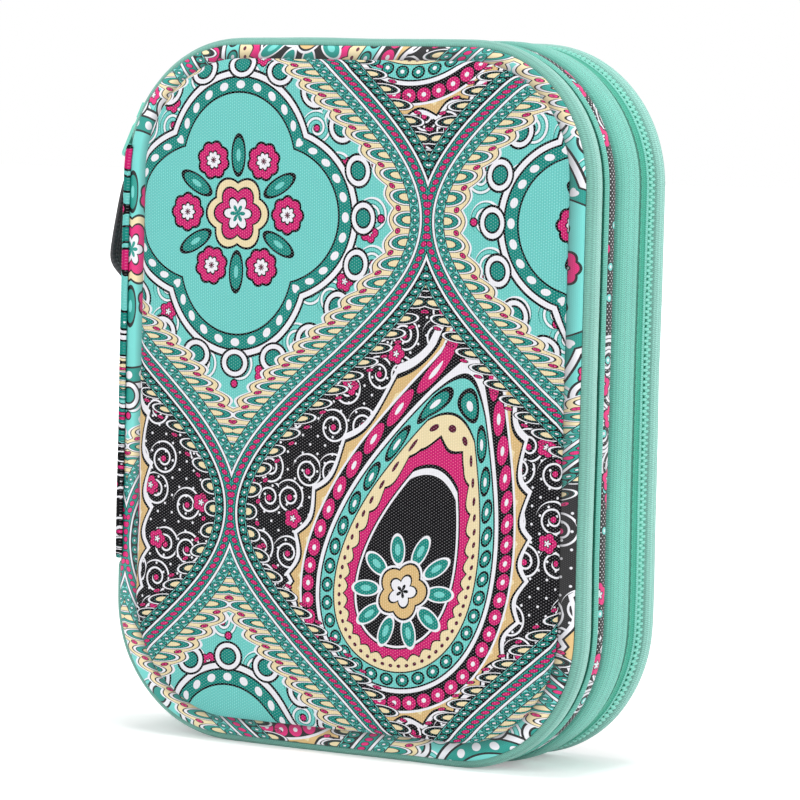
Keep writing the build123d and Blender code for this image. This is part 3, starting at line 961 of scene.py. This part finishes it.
def spine_stitches(material):
    """Stitches along both hems of the spine's canvas, and boxes of them at both ends of the strap."""
    runs = []
    for z in (SPINE_LOW.z + 1.8 * MM, SPINE_HIGH.z - 2.2 * MM):
        points = [on_spine(y * MM, z, 0.1 * MM) for y in (-19, -12, -4, 4, 12, 19)]
        runs += [(a, b, way) for (a, way), (b, _) in zip(points, points[1:])]
    low, high = box_of("handle_strap")
    left, right = low.y + 1.6 * MM, high.y - 1.6 * MM
    for foot, head in (((-83.0, 126.4), (-83.05, 130.6)), ((-82.95, 173.2), (-82.3, 176.8))):
        corners = [Vector((x * MM, y, z * MM)) for x, z in (foot, head) for y in (left, right)]
        way = (corners[1] - corners[0]).cross(corners[2] - corners[0]).normalized()
        way *= math.copysign(1, -way.x)
        sides_and_diagonals = ((0, 1), (1, 3), (3, 2), (2, 0), (0, 3), (1, 2))
        runs += [(corners[a], corners[b], way) for a, b in sides_and_diagonals]
    stitches("spine_stitches", MIDDLE, runs, material, length=2.0, gap=0.8, thick=0.45)


def hinge_cloth(name, inward, material):
    """Fold of canvas that joins the spine to a cover."""
    profile = [(-20.2, 0.45), (-20.9, 0.25), (-21.6, 0.2), (-22.3, 0.4)]
    profile += [(-22.9, 0.9), (-23.3, 1.6), (-23.45, 2.5), (-23.4, 3.4)]
    run = spine_run([(inward * depth, inset) for depth, inset in profile], closed=False)
    bm = relaxed(run, 0.22 * MM, 30 * MM, 0.05 * MM)
    obj = thickened(piece(bm, name, None, material), 0.6 * MM)
    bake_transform(subdivided(obj))


def ribbon(path, width_axis, width, steps):
    """Strip of webbing: a path of points, pulled out to its width."""
    bm, row = started(path, closed=False)
    pulled(bm, row, width_axis * width, steps)
    return finished(bm)


def along_ribbon(path, axis):
    """Cloth map of a ribbon: its length along the path, its width along an axis."""
    reach = [0.0]
    for a, b in zip(path, path[1:]):
        reach.append(reach[-1] + (b - a).length)

    def place(co, _centre):
        flat = co - axis * (co.dot(axis) - path[0].dot(axis))
        nearest = min(range(len(path)), key=lambda n: (path[n] - flat).length)
        return reach[nearest], co.dot(axis)

    return place


def strap(material):
    """Carrying strap of webbing, sewn to the spine at both ends and slack between."""
    low, high = box_of("handle_strap")
    points = [(-81.45, 177.4), (-82.1, 173.4), (-83.1, 171.2), (-85.4, 168.7), (-87.1, 164.8)]
    points += [(-88.9, 156.0), (-90.5, 147.4), (-91.0, 143.4), (-90.2, 140.8), (-87.4, 138.2)]
    points += [(-84.2, 135.4), (-82.7, 133.2), (-82.3, 130.6), (-82.25, 125.7)]
    path = [Vector((x * MM, low.y, z * MM)) for x, z in points]
    axis = Vector((0, 1, 0))
    bm = mapped(ribbon(path, axis, high.y - low.y, 10), along_ribbon(path, axis))
    obj = piece(bm, "strap_webbing", MIDDLE, material, ("handle_strap",))
    subdivided(thickened(obj, bpy.context.scene.case_sizes.webbing), 2)


def board(name, body, node, outline, front, back, material):
    """Flat cloth-covered board with a soft edge."""
    soft_outline = outline.inset((back - front) / 3)
    bm = cloth_disc(soft_outline, front, columns=34, rows=44)
    rim = [e for e in bm.edges if e.is_boundary]
    second = cloth_disc(soft_outline, back, columns=34, rows=44)
    mesh = bpy.data.meshes.new(name + "_back")
    second.to_mesh(mesh)
    second.free()
    bm.from_mesh(mesh)
    bpy.data.meshes.remove(mesh)
    other = [e for e in bm.edges if e.is_boundary and e not in set(rim)]
    bmesh.ops.bridge_loops(bm, edges=rim + other)
    bm = relaxed(mapped(finished(bm), facing), 0.1 * MM, 40 * MM)
    piece(bm, name, body, material, (node,))


def lining_wall(name, body, front, back, material, nodes=()):
    """Strip of lining round the inside of the case between two depths, open at the spine."""
    outer, inner = (inset * MM for inset in LINING_INSETS)
    bm = swept(CASE, [(front, outer), (back, outer), (back, inner), (front, inner)], gap=SPINE_GAP)
    piece(mapped(bm, round_case), name, body, material, nodes)


def pocket(name, body, node, material):
    """Flat pocket: a sheet that fills the foot of a cover or of the divider up to its mouth."""
    low, high = box_of(node)
    outline = CASE.inset(low.x - CASE.left)
    bm = cloth_disc(outline, (low.y + high.y) / 2, columns=40, rows=56)
    every = bm.verts[:] + bm.edges[:] + bm.faces[:]
    mouth, up = (0, 0, high.z), (0, 0, 1)
    bmesh.ops.bisect_plane(bm, geom=every, plane_co=mouth, plane_no=up, clear_outer=True)
    obj = thickened(piece(mapped(bm, facing), name, body, material, (node,)), 0.35 * MM)
    size = (high.x - low.x, high.z - low.z)
    area = size[0] * size[1] - (2 - math.pi / 2) * outline.radius**2


def mouth_stitches(name, body, node, inward, z, material):
    """Row of stitches across a pocket or its binding at a height, on its inward side."""
    low, high = box_of(node)
    start, end = (Vector((x, high.y if inward > 0 else low.y, z)) for x in (low.x + MM, high.x - MM))
    stitches(name, body, [(start, end, Vector((0, inward, 0)))], material)


def elastic_strip(name, body, node, material):
    """Folded elastic along the mouth of a net pocket."""
    low, high = box_of(node)
    bm = bmesh.new()
    bmesh.ops.create_cube(bm, size=1)
    bmesh.ops.scale(bm, verts=bm.verts, vec=high - low)
    bmesh.ops.translate(bm, verts=bm.verts, vec=(low + high) / 2)

    def long_edges():
        return [e for e in bm.edges if abs((e.verts[0].co - e.verts[1].co).x) > 10 * MM]

    rounding = {"offset": 0.35 * MM, "segments": 2, "profile": 0.5, "affect": "EDGES", "material": -1}
    bmesh.ops.bevel(bm, geom=long_edges(), **rounding)
    bmesh.ops.subdivide_edges(bm, edges=long_edges(), cuts=60, use_grid_fill=True)
    for vert in bm.verts:
        vert.co.z += 0.25 * MM * noise.noise(vert.co / (3 * MM))
    piece(mapped(bm, facing), name, body, material, (node,))


def hook_band(name, node, material):
    """Elastic band sewn down between its loops, one loop for each hook; gives its rows of stitches."""
    low, high = box_of(node)
    sizes = bpy.context.scene.case_sizes
    loops, pitch = sizes.hook_loops, sizes.loop_pitch
    base, crest = high.y - 0.4 * MM, low.y + 0.4 * MM
    flat, steps = pitch * 0.1, 8
    starts = [(n - loops / 2) * pitch for n in range(loops + 1)]
    path = []
    for start in starts[:-1]:
        path.append(Vector((start, base, low.z)))
        for share in (step / steps for step in range(steps + 1)):
            rise = (crest - base) * math.sin(math.pi * share)
            path.append(Vector((start + flat + (pitch - 2 * flat) * share, base + rise, low.z)))
    path.append(Vector((starts[-1], base, low.z)))
    axis = Vector((0, 0, 1))
    bm = mapped(ribbon(path, axis, high.z - low.z, 6), facing)
    thickened(piece(bm, name, MIDDLE, material, (node,)), 0.8 * MM)
    seams = [starts[0] + 1 * MM, *starts[1:-1], starts[-1] - 1 * MM]
    ends = [[Vector((x, base - 0.4 * MM, z)) for z in (low.z, high.z)] for x in seams]
    return [(*pair, Vector((0, -1, 0))) for pair in ends]


def bead(segments, rings, size, tilt=0.0):
    """Small round shape of a size in mm, its poles tilted about X."""
    bm = bmesh.new()
    bmesh.ops.create_uvsphere(bm, u_segments=segments, v_segments=rings, radius=0.5)
    bmesh.ops.rotate(bm, verts=bm.verts, matrix=Matrix.Rotation(tilt, 3, "X"))
    bmesh.ops.scale(bm, verts=bm.verts, vec=Vector(size) * MM)
    return bm


def copies(shape, places):
    """Mesh of a small shape, which it uses up, at each of a row of places."""
    pattern = bpy.data.meshes.new("pattern")
    shape.to_mesh(pattern)
    shape.free()
    bm = bmesh.new()
    for place in places:
        known = len(bm.verts)
        bm.from_mesh(pattern)
        bm.verts.ensure_lookup_table()
        bmesh.ops.transform(bm, matrix=place, verts=bm.verts[known:])
    bpy.data.meshes.remove(pattern)
    return bm


def stitches(name, body, runs, material, length=2.2, gap=0.9, thick=0.36):
    """Rows of machine stitches in mm: a run is its start, its end and the way its cloth faces."""
    places = []
    for start, end, facing_way in runs:
        heading = (end - start).normalized()
        side = facing_way.cross(heading).normalized()
        turn = Matrix((side, heading.cross(side), heading)).transposed().to_4x4()
        count = max(1, round((end - start).length / ((length + gap) * MM)))
        for n in range(count):
            places.append(Matrix.Translation(start.lerp(end, (n + 0.5) / count)) @ turn)
    piece(copies(bead(6, 4, (thick, thick, length)), places), name, body, material)


def teeth(name, body, node, depth, inset, size, phase, material, tape_side):
    """Row of nylon coil loops along one half of a zip, each wider towards its tape."""
    tooth = bead(8, 6, size, math.pi / 2)
    for vert in tooth.verts:
        vert.co.x *= 1 + 0.28 * max(0.0, -tape_side * vert.co.y / (size[1] * MM))
    path, pitch = CASE.inset(inset * MM), bpy.context.scene.case_sizes.coil_pitch
    first = path.along(path.left, SPINE_GAP[0])
    stop = path.radius * math.asin((SPINE_GAP[1] - path.top + path.radius) / path.radius)
    last = path.length - stop - path.straight[1]
    places = []
    for n in range(int((last - first) / pitch)):
        where, turn = path.at(first + (n + 0.5 + phase) * pitch)
        place = Matrix.Translation((where.x, depth * MM, where.y)) @ Matrix.Rotation(-turn, 4, "Y")
        places.append(place)
    piece(copies(tooth, places), name, body, material, (node,))


def dye(context, name):
    return tuple(getattr(context.scene.case_colours, name))


def dye_property(name, description, *channels):
    return FloatVectorProperty(
        name=name, description=description, subtype="COLOR", size=3, default=linear(*channels)
    )


def length_property(name, description, default):
    return FloatProperty(name=name, description=description, unit="LENGTH", default=default)


class CaseColours(bpy.types.PropertyGroup):
    """Dyes of the case, and the painted shade of its zip tape."""

    mint: dye_property("Mint", "Zip tape and sliders", 124, 214, 196)
    # Painted shade: a darker tape colour laid in the groove of the outer zip
    groove: dye_property("Groove", "Tape in the groove of the zips", 60, 180, 152)
    # Painted shade: a deeper tape colour laid under the coils and in the slit
    shade: dye_property("Shade", "Tape under the coils and in the slit", 30, 124, 104)
    coil: dye_property("Coil", "Nylon coil of the zips", 124, 208, 190)
    lining: dye_property("Lining", "Lining cloth", 34, 110, 96)
    charcoal: dye_property("Charcoal", "Strap, elastic and net", 58, 58, 62)


class CaseSizes(bpy.types.PropertyGroup):
    """Sizes of the case's cloth, zips and pockets."""

    crown: length_property("Panel crown", "How far a padded panel swells in its middle", 0.9 * MM)
    coil_pitch: length_property("Coil pitch", "Distance from one coil loop to the next", 1.7 * MM)
    webbing: length_property("Webbing thickness", "Thickness of the carrying strap", 1.4 * MM)
    hook_loops: IntProperty(
        name="Hook loops", description="Loops of each elastic band", default=8, min=2, max=9
    )
    loop_pitch: length_property("Loop pitch", "Distance from one hook loop to the next", 15 * MM)


class CASE_OT_covers(bpy.types.Operator):
    """Adds the padded panels and sloping gussets of both covers."""

    bl_idname = "organizer.covers"
    bl_label = "Padded covers"

    def execute(self, context):
        coarse = {"pitch": 0.6, "roughness": 0.75, "depth": 0.16 * MM, "grain": 1.0, "gloss": 0.08}
        smooth = {"pitch": 0.4, "roughness": 0.45, "depth": 0.03 * MM, "grain": 0.3, "gloss": 0.4}
        canvas = printed_material("printed canvas", (3, 18), **coarse)
        # The binding has painted shade towards its crease along the panel's edge
        binding = printed_material("printed binding", (44, 30), **smooth, painted_crease_shade=True)
        panel("front_panel", FRONT, "front_panel_canvas", "front_foam_pad", 1, canvas)
        panel("back_panel", BACK, "back_panel_canvas", "back_foam_pad", -1, canvas)
        gusset("front_gusset_cloth", FRONT, "front_gusset", 1, binding)
        gusset("back_gusset_cloth", BACK, "back_gusset", -1, binding)
        return {"FINISHED"}


class CASE_OT_zip_tapes(bpy.types.Operator):
    """Adds the four bands of zip tape and the printed strip between the zips."""

    bl_idname = "organizer.zip_tapes"
    bl_label = "Zip tapes"

    def execute(self, context):
        # The tape's dye and its two colours of painted shade
        dye_and_painted_shades = (dye(context, name) for name in ("mint", "groove", "shade"))
        mint = tape_material("mint zip tape", *dye_and_painted_shades)
        strip_print = binding_material("printed strip", roughness=0.6, dark=1.0)
        profile = [(-22.2, 2.1), (-22.0, 1.3), (-21.2, 0.4), (-19.9, -0.2), (-18.7, -0.25), (-17.3, 0.1)]
        profile += [(-15.3, 0.5), (-14.7, 1.2), (-14.6, 2.0), (-16.0, 2.1), (-20.5, 2.1), (-22.0, 2.1)]
        band("zip1_front_tape_cloth", FRONT, "zip1_front_tape", profile, mint)
        profile = [(-13.4, 2.0), (-13.3, 1.1), (-12.8, 0.4), (-12.2, 0.15), (-11.6, 0.4), (-11.1, 1.2)]
        profile += [(-11.15, 2.1), (-12.5, 2.1)]
        band("zip1_rear_tape_cloth", MIDDLE, "zip1_rear_tape", profile, mint)
        profile = [(-11.1, 1.2), (-10.6, 0.7), (-9.1, 0.55), (-7.6, 0.7), (-7.1, 1.2), (-7.1, 2.1)]
        profile += [(-11.1, 2.1)]
        band("printed_strip", MIDDLE, "middle_gusset", profile, strip_print)
        profile = [(-7.1, 1.7), (-6.8, 0.8), (-5.8, 0.1), (-3.6, -0.3), (-0.5, -0.45), (2.5, -0.35)]
        profile += [(4.7, -0.05), (5.6, 0.3), (6.1, 0.9), (6.6, 1.25), (7.4, 1.2), (8.8, 1.05), (10.0, 1.0)]
        profile += [(10.4, 0.6), (11.0, 0.4), (11.7, 0.65), (12.1, 0.85), (12.75, 0.88), (12.97, 0.95)]
        profile += [(13.0, 1.4), (13.0, 2.2), (6.0, 2.2), (0.0, 2.1), (-7.0, 2.1)]
        band("zip2_front_tape_cloth", MIDDLE, "zip2_front_tape", profile, mint)
        profile = [(13.75, 1.35), (15.2, 1.35), (15.8, 1.15), (16.3, 0.75), (17.2, 0.2), (18.5, -0.2)]
        profile += [(20.2, -0.15), (21.4, 0.5), (22.2, 2.0), (22.0, 2.15), (18.0, 2.15), (13.75, 2.15)]
        band("zip2_rear_tape_cloth", BACK, "zip2_rear_tape", profile, mint)
        return {"FINISHED"}


class CASE_OT_coils(bpy.types.Operator):
    """Adds the nylon loops of both zips."""

    bl_idname = "organizer.coils"
    bl_label = "Zip coils"

    def execute(self, context):
        nylon = nylon_material("coil nylon", dye(context, "coil"))
        for zip_half, body, depth, inset, size, phase, tape_side in (
            ("zip2_front", MIDDLE, 12.8, 0.75, (1.1, 2.9, 1.0), 0.0, -1),
            ("zip2_rear", BACK, 14.2, 0.75, (1.1, 2.9, 1.0), 0.5, 1),
            ("zip1_front", FRONT, -14.9, 2.4, (0.75, 2.1, 1.0), 0.0, -1),
            ("zip1_rear", MIDDLE, -13.1, 2.4, (0.75, 2.1, 1.0), 0.5, 1),
        ):
            name, node = zip_half + "_teeth", zip_half + "_coil"
            teeth(name, body, node, depth, inset, size, phase, nylon, tape_side)
        return {"FINISHED"}


class CASE_OT_spine(bpy.types.Operator):
    """Adds the spine's canvas, the folds that join it to the covers, and the carrying strap."""

    bl_idname = "organizer.spine"
    bl_label = "Spine and strap"

    def execute(self, context):
        canvas = bpy.data.materials["printed canvas"]
        spine_cloth(canvas)
        hinge_cloth("front_hinge_cloth", 1, canvas)
        hinge_cloth("back_hinge_cloth", -1, canvas)
        strap(webbing_material("charcoal webbing", dye(context, "charcoal"), pitch=1.5, depth=0.3 * MM))
        spine_stitches(nylon_material("dark thread", tuple(c * 0.4 for c in dye(context, "charcoal"))))
        return {"FINISHED"}


class CASE_OT_inside(bpy.types.Operator):
    """Adds the linings, the divider with its hook bands, and the pockets."""

    bl_idname = "organizer.inside"
    bl_label = "Inside"

    def execute(self, context):
        lining = plain_cloth("lining nylon", dye(context, "lining"), pitch=0.4, roughness=0.55)
        elastic = webbing_material("black elastic", dye(context, "charcoal"), pitch=1.1, depth=0.2 * MM)
        net = net_material("pocket net", dye(context, "charcoal"))
        thread = nylon_material("mint thread", dye(context, "mint"))
        for side, body, inward, zip_wall in (("front", FRONT, 1, -18.2), ("back", BACK, -1, 17.55)):
            low, high = box_of(side + "_lining")
            sheet_y = (low.y if inward > 0 else high.y) + inward * 0.3 * MM
            sheet = (CASE.inset(2.2 * MM), sheet_y - 0.25 * MM, sheet_y + 0.25 * MM)
            board(side + "_lining_cloth", body, side + "_lining", *sheet, lining)
            lining_wall(side + "_lining_wall", body, sheet_y + inward * 0.3 * MM, zip_wall * MM, lining)
            pocket(side + "_net_pocket", body, side + "_mesh_pocket", net)
            binding = side + "_pocket_binding"
            seam = box_of(binding)[0].z + 1.5 * MM
            elastic_strip(side + "_pocket_elastic", body, binding, elastic)
            mouth_stitches(side + "_pocket_stitches", body, binding, inward, seam, thread)
        low, high = box_of("middle_lining")
        lining_wall("middle_lining_cloth", MIDDLE, low.y, high.y, lining, ("middle_lining",))
        outer, inner = LINING_INSETS
        bm = spine_run([(-21.8, outer), (21.8, outer), (21.8, inner), (-21.8, inner)])
        piece(bm, "spine_lining_cloth", MIDDLE, lining, ("spine_lining",))
        low, high = box_of("divider_panel")
        leaf = CASE.inset(2.75 * MM)
        board("divider_board", MIDDLE, "divider_panel", leaf, low.y, high.y, lining)
        seams = hook_band("upper_hook_band", "hook_band_upper", elastic)
        seams += hook_band("lower_hook_band", "hook_band_lower", elastic)
        stitches("hook_band_stitches", MIDDLE, seams, thread)
        slip = "divider_slip_pocket"
        pocket("divider_pocket", MIDDLE, slip, lining)
        seam = box_of(slip)[1].z - 3 * MM
        mouth_stitches("divider_pocket_stitches", MIDDLE, slip, 1, seam, thread)
        return {"FINISHED"}


class CASE_OT_sliders(bpy.types.Operator):
    """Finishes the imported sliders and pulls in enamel."""

    bl_idname = "organizer.sliders"
    bl_label = "Sliders"

    def execute(self, context):
        enamel = nylon_material("mint enamel", dye(context, "mint"))
        for name in ("zip1_slider", "zip1_pull", "zip2_slider", "zip2_pull"):
            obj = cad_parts[name]
            obj.data.materials.clear()
            obj.data.materials.append(enamel)
        return {"FINISHED"}


class CASE_OT_stage(bpy.types.Operator):
    """Adds the floor, the lamps, the pale surroundings and the camera."""

    bl_idname = "organizer.stage"
    bl_label = "Stage"

    def execute(self, context):
        scene = context.scene
        bm = bmesh.new()
        bmesh.ops.create_grid(bm, x_segments=1, y_segments=1, size=14)
        material, tree, shader = surface("floor paper", 0.9)
        shader.inputs["Base Color"].default_value = (0.9, 0.9, 0.9, 1)
        obj = piece(bm, "floor", None, material, smooth=False)
        pale_to_camera(tree, shader, 0.3)
        add_surroundings(scene, 0.5)
        add_lamp(scene, "key lamp", (0.3, -1.9, 1.4), size=1.1, power=11.5)
        add_lamp(scene, "side lamp", (1.7, 0.9, 0.8), size=0.8, power=15.0)
        add_lamp(scene, "top lamp", (0.1, -0.2, 2.3), size=1.0, power=26.0)
        add_lamp(scene, "low lamp", (-0.4, -1.7, 0.12), size=0.7, power=5.0)
        add_camera(scene)
        scene.view_settings.view_transform = "Standard"
        return {"FINISHED"}


def seen_directly(tree):
    """1 where the camera, a reflection or glass sees a surface, 0 where its light falls on others."""
    rays = tree.nodes.new("ShaderNodeLightPath")
    seen = Field(tree, rays.outputs["Is Camera Ray"])
    for kind in ("Is Glossy Ray", "Is Transmission Ray"):
        seen = seen.most(rays.outputs[kind])
    return seen


def pale_to_camera(tree, shader, strength):
    """Lifts a pale surface towards white where it is seen, all the way far from the case; it keeps its
    shadows."""
    glow = tree.nodes.new("ShaderNodeEmission")
    across, along = split(tree, tree.nodes.new("ShaderNodeTexCoord").outputs["Object"])
    near, fade = 0.3, 0.9
    far = ((radius_of(across, along) - near) / fade).most(0).least(1)
    plug(tree, seen_directly(tree) * (far * (1 - strength) + strength), glow.inputs["Strength"])
    both = tree.nodes.new("ShaderNodeAddShader")
    plug(tree, shader.outputs[0], both.inputs[0])
    plug(tree, glow.outputs[0], both.inputs[1])
    plug(tree, both.outputs[0], tree.nodes["Material Output"].inputs["Surface"])


def add_surroundings(scene, level):
    """Even pale light from all round, seen as white."""
    world = bpy.data.worlds.new("studio")
    world.use_nodes = True
    tree = world.node_tree
    background = tree.nodes["Background"]
    background.inputs["Color"].default_value = (1, 1, 1, 1)
    plug(tree, seen_directly(tree) * (1 - level) + level, background.inputs["Strength"])
    scene.world = world


def add_lamp(scene, name, place, size, power):
    """Large soft lamp that looks at the middle of the case."""
    light = bpy.data.lights.new(name, "AREA")
    light.shape = "DISK"
    light.size = size
    light.energy = power
    obj = bpy.data.objects.new(name, light)
    away = Vector(place) - Vector((0, 0, CASE.centre.y))
    obj.location = place
    obj.rotation_euler = away.to_track_quat("Z", "Y").to_euler()
    scene.collection.objects.link(obj)


def add_camera(scene):
    """Camera at the photograph's angle, with a long lens and a slight tilt to one side."""
    azimuth, elevation, roll = (math.radians(a) for a in (32.07, 3.63, 1.41))
    target, distance = Vector((3.1, 3.5, 103.6)) * MM, 1.246
    right = Vector((math.cos(azimuth), math.sin(azimuth), 0))
    flat_back = Vector((math.sin(azimuth), -math.cos(azimuth), 0))
    back = flat_back * math.cos(elevation) + Vector((0, 0, math.sin(elevation)))
    up = back.cross(right)
    side = right * math.cos(roll) + up * math.sin(roll)
    rise = up * math.cos(roll) - right * math.sin(roll)
    camera = bpy.data.objects.new("camera", bpy.data.cameras.new("camera"))
    camera.data.lens = 188.3
    camera.data.sensor_width = 36.0
    turn = Matrix((side, rise, back)).transposed().to_4x4()
    camera.matrix_world = Matrix.Translation(target + back * distance) @ turn
    scene.collection.objects.link(camera)
    scene.camera = camera


OPERATORS = (
    CASE_OT_covers,
    CASE_OT_zip_tapes,
    CASE_OT_coils,
    CASE_OT_spine,
    CASE_OT_inside,
    CASE_OT_sliders,
    CASE_OT_stage,
)


class CASE_PT_organizer(bpy.types.Panel):
    """Dyes and sizes of the case, and the operators that build it."""

    bl_label = "Organizer case"
    bl_idname = "CASE_PT_organizer"
    bl_space_type = "VIEW_3D"
    bl_region_type = "UI"
    bl_category = "Organizer"

    def draw(self, context):
        for group in (context.scene.case_colours, context.scene.case_sizes):
            for name in group.__annotations__:
                self.layout.prop(group, name)
        for operator in OPERATORS:
            self.layout.operator(operator.bl_idname)


CLASSES = (CaseColours, CaseSizes, *OPERATORS, CASE_PT_organizer)


def register():
    for cls in CLASSES:
        bpy.utils.register_class(cls)
    bpy.types.Scene.case_colours = PointerProperty(type=CaseColours)
    bpy.types.Scene.case_sizes = PointerProperty(type=CaseSizes)


def unregister():
    del bpy.types.Scene.case_sizes
    del bpy.types.Scene.case_colours
    for cls in reversed(CLASSES):
        bpy.utils.unregister_class(cls)


def main():
    """Builds the whole case and its stage."""
    # Without a seed, noise_vector follows the clock
    noise.seed_set(1)
    register()
    bpy.ops.organizer.covers()
    bpy.ops.organizer.zip_tapes()
    bpy.ops.organizer.coils()
    bpy.ops.organizer.spine()
    bpy.ops.organizer.inside()
    bpy.ops.organizer.sliders()
    bpy.ops.organizer.stage()


if __name__ == "__main__":
    main()
